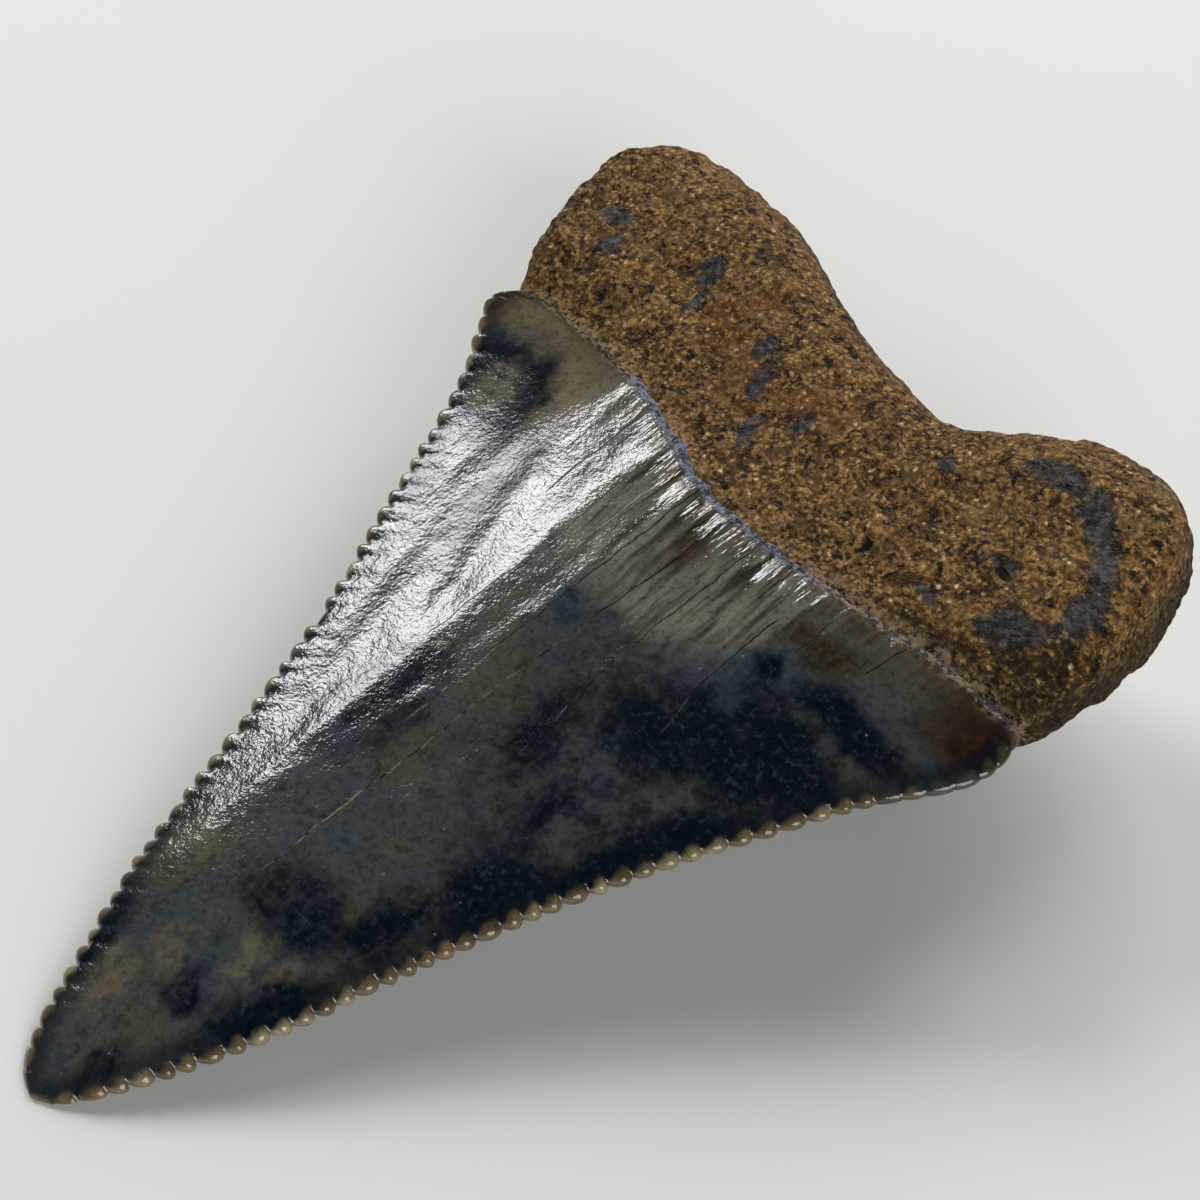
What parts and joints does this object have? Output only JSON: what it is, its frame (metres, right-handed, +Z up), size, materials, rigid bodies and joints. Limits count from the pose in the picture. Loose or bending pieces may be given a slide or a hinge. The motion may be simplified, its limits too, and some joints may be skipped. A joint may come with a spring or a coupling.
{
  "type": "fossil great white shark tooth",
  "caption": "Fossil great white shark tooth: flat serrated triangular crown of blue-grey enamel on a brown bilobed root, lying with its outer face up.",
  "frame": {"origin": "centre of the bounding box at the surface that the tooth rests on", "axes": "+Y from the tip of the crown to the root, +Z up, away from the surface that it rests on, +X across the tooth, to the right seen from above with the root away from the viewer"},
  "size_m": [0.0404, 0.0566, 0.0126],
  "materials": {
    "enamel": "glossy mottled blue-black and grey-brown enamel",
    "root_dentine": "matt grainy brown"
  },
  "bodies": {
    "root": {"tooth": "enamel"}
  },
  "joints": []
}
